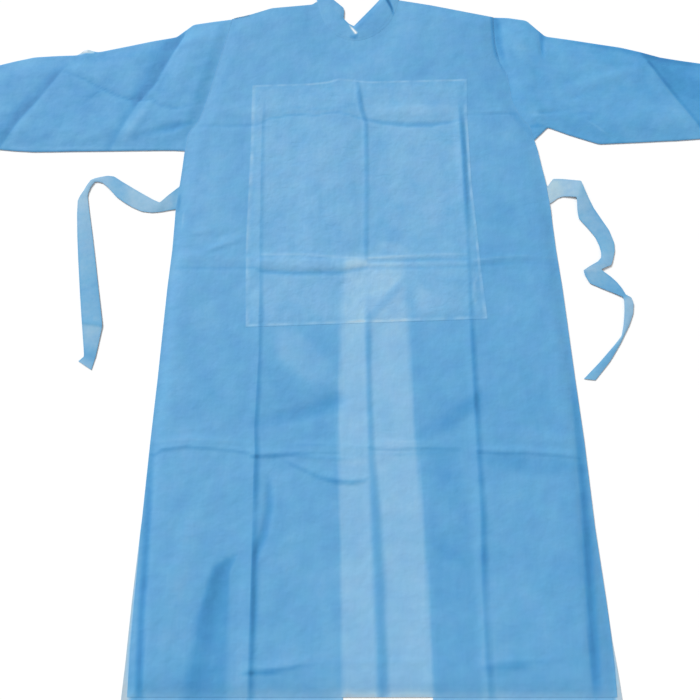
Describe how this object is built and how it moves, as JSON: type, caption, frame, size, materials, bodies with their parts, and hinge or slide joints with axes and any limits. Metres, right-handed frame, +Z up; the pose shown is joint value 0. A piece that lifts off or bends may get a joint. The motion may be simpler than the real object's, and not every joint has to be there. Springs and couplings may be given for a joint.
{
  "type": "surgical gown",
  "caption": "Disposable back-opening surgical gown laid flat front up, with set-in sleeves, knitted cuffs, a chest patch, a bound neck and waist ties.",
  "frame": {"origin": "on the table under the middle of the laid-out gown", "axes": "+X from the gown's left in the picture to its right, along the sleeves; +Y from the hem towards the neck; +Z up from the table, out of the front"},
  "size_m": [1.7, 1.276, 0.0089],
  "materials": {
    "body_cloth": "light blue bonded nonwoven, matt with a faint sheen",
    "patch_cloth": "light blue laminated nonwoven, slightly wrinkled",
    "tie_cloth": "pale grey-blue single-ply nonwoven, a little translucent",
    "cuff_knit": "white rib knit"
  },
  "bodies": {
    "root": {"front": "body_cloth", "back_left": "body_cloth", "back_right": "body_cloth", "sleeve_left": "body_cloth", "sleeve_right": "body_cloth", "neck_band": "body_cloth", "chest_patch": "patch_cloth", "tie_left": "tie_cloth", "tie_right": "tie_cloth", "cuff_left": "cuff_knit", "cuff_right": "cuff_knit"}
  },
  "joints": []
}
